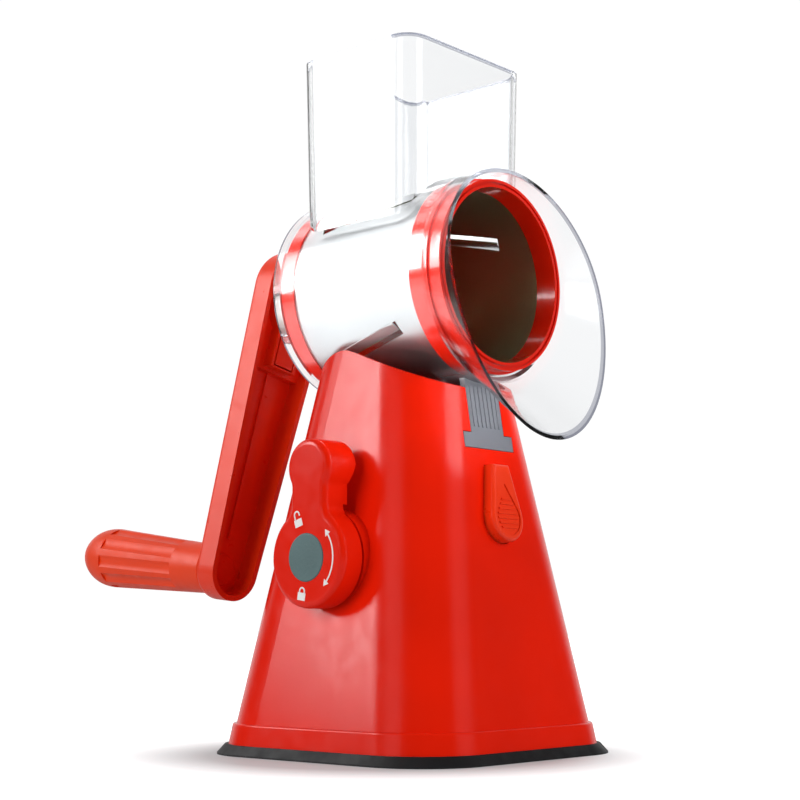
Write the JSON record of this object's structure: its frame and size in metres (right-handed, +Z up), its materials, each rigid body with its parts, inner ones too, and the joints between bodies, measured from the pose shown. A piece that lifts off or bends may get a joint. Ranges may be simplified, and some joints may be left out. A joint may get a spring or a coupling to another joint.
{
  "type": "rotary cheese grater",
  "caption": "Hand-cranked drum grater on a tapered suction-base tower, with a clear chute and hood, a slotted steel drum, a crank and a suction lever.",
  "frame": {"origin": "middle of the footprint, on the surface that it stands on", "axes": "+Z up along the tower, -Y towards the outlet hood, +Y towards the crank along the drum's axis, -X towards the suction lever"},
  "size_m": [0.129, 0.2553, 0.287],
  "materials": {
    "body_red": "glossy moulded ABS",
    "satin_red": "satin moulded plastic",
    "clear_plastic": "clear polished SAN plastic",
    "drum_steel": "polished stainless steel",
    "foot_rubber": "matt black rubber",
    "cap_grey": "satin grey plastic",
    "inner_plastic": "natural acetal",
    "screws": "zinc-plated steel"
  },
  "bodies": {
    "tower": {"body_shell": "body_red", "base_plate": "inner_plastic", "base_screws": "screws", "suction_pad": "foot_rubber", "button_spring": "screws", "button_retainer": "inner_plastic", "retainer_screws": "screws"},
    "button": {"release_button": "satin_red"},
    "lever": {"suction_lever": "body_red", "lever_cap": "cap_grey", "lever_screw": "screws", "lever_shaft": "inner_plastic"},
    "lift": {"suction_rod": "inner_plastic", "rod_pin": "screws", "pull_disc": "inner_plastic"},
    "housing": {"clear_housing": "clear_plastic"},
    "crank": {"drive_shaft": "inner_plastic", "crank_arm": "satin_red", "crank_screw": "screws", "grip_axle": "satin_red"},
    "drum": {"drum_front_ring": "satin_red", "drum_shell": "drum_steel", "drum_back": "satin_red"},
    "handgrip": {"grip": "satin_red"}
  },
  "joints": [
    {"name": "button_press", "type": "slide", "parent": "tower", "child": "button", "axis": [0, 0.9867, -0.1628], "range_m": [0, 0.003], "stiffness_N_per_m": 900, "springref_m": -0.002, "deforming": ["button_spring"]},
    {"name": "lever_turn", "type": "hinge", "parent": "tower", "child": "lever", "pos_m": [-0.055, 0, 0.0767], "axis": [1, 0, 0], "range_deg": [0, 90]},
    {"name": "suction_lift", "type": "slide", "parent": "tower", "child": "lift", "axis": [0, 0, 1], "range_m": [0, 0.00354]},
    {"name": "housing_off", "type": "slide", "parent": "tower", "child": "housing", "axis": [0, -0.9867, 0.1628], "range_m": [0, 0.018]},
    {"name": "crank_turn", "type": "hinge", "parent": "housing", "child": "crank", "pos_m": [0, 0.05, 0.1905], "axis": [0, 1, 0], "continuous": true},
    {"name": "drum_out", "type": "slide", "parent": "crank", "child": "drum", "axis": [0, -1, 0], "range_m": [0, 0.13]},
    {"name": "grip_spin", "type": "hinge", "parent": "crank", "child": "handgrip", "pos_m": [-0.0238, 0.10174, 0.07606], "axis": [0.0202, 0.9951, 0.0972], "continuous": true}
  ],
  "couplings": [
    {"joint": "suction_lift", "follows": "lever_turn", "m_per_rad": 0.0022508}
  ]
}
